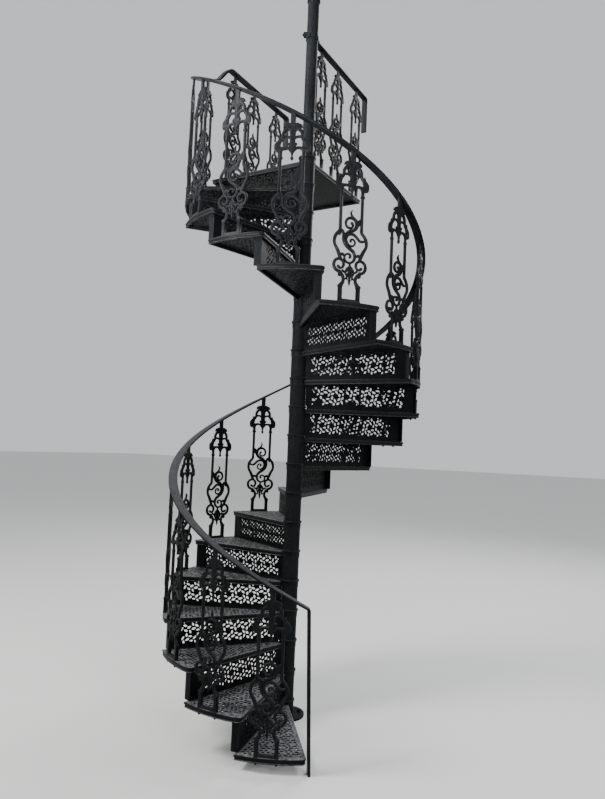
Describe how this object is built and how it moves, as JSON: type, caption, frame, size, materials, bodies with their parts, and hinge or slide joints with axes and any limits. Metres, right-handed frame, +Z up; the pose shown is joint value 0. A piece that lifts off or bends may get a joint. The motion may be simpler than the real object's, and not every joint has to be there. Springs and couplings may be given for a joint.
{
  "type": "spiral staircase",
  "caption": "Spiral staircase of cast treads round a central column, with pierced risers, scrolled balusters, a flat handrail and a landing with rails at the top.",
  "frame": {"origin": "middle of the base plate under the column, on its underside, at ground level", "axes": "+Z up along the column; +Y from the column towards the wall that the landing meets; +X to the right of someone facing that wall"},
  "size_m": [1.638, 1.708, 4.882],
  "materials": {
    "column_iron": "black gloss paint over cast iron, weathered to satin",
    "tread_iron": "black paint worn and dusty on the walked surface",
    "riser_iron": "black satin paint over cast iron",
    "baluster_iron": "black satin paint over cast iron",
    "rail_steel": "black gloss paint over flat steel bar"
  },
  "bodies": {
    "root": {"base_plate": "column_iron", "centre_pole": "column_iron", "hub_column": "column_iron", "pole_cap": "column_iron", "rail_clamp": "rail_steel", "tread_01": "tread_iron", "tread_02": "tread_iron", "tread_03": "tread_iron", "tread_04": "tread_iron", "tread_05": "tread_iron", "tread_06": "tread_iron", "tread_07": "tread_iron", "tread_08": "tread_iron", "tread_09": "tread_iron", "tread_10": "tread_iron", "tread_11": "tread_iron", "tread_12": "tread_iron", "tread_13": "tread_iron", "tread_14": "tread_iron", "tread_15": "tread_iron", "tread_16": "tread_iron", "tread_17": "tread_iron", "tread_18": "tread_iron", "tread_19": "tread_iron", "risers_lower": "riser_iron", "risers_middle": "riser_iron", "risers_upper": "riser_iron", "landing_riser": "riser_iron", "balusters_foot": "baluster_iron", "balusters_lower": "baluster_iron", "balusters_middle": "baluster_iron", "balusters_upper": "baluster_iron", "landing_balusters": "baluster_iron", "newel_post": "rail_steel", "handrail_1": "rail_steel", "handrail_2": "rail_steel", "handrail_3": "rail_steel", "handrail_4": "rail_steel", "handrail_5": "rail_steel", "rail_ramp": "rail_steel", "landing_rail_left": "rail_steel", "landing_rail_right": "rail_steel", "landing_deck": "tread_iron", "landing_bearers": "column_iron"}
  },
  "joints": []
}
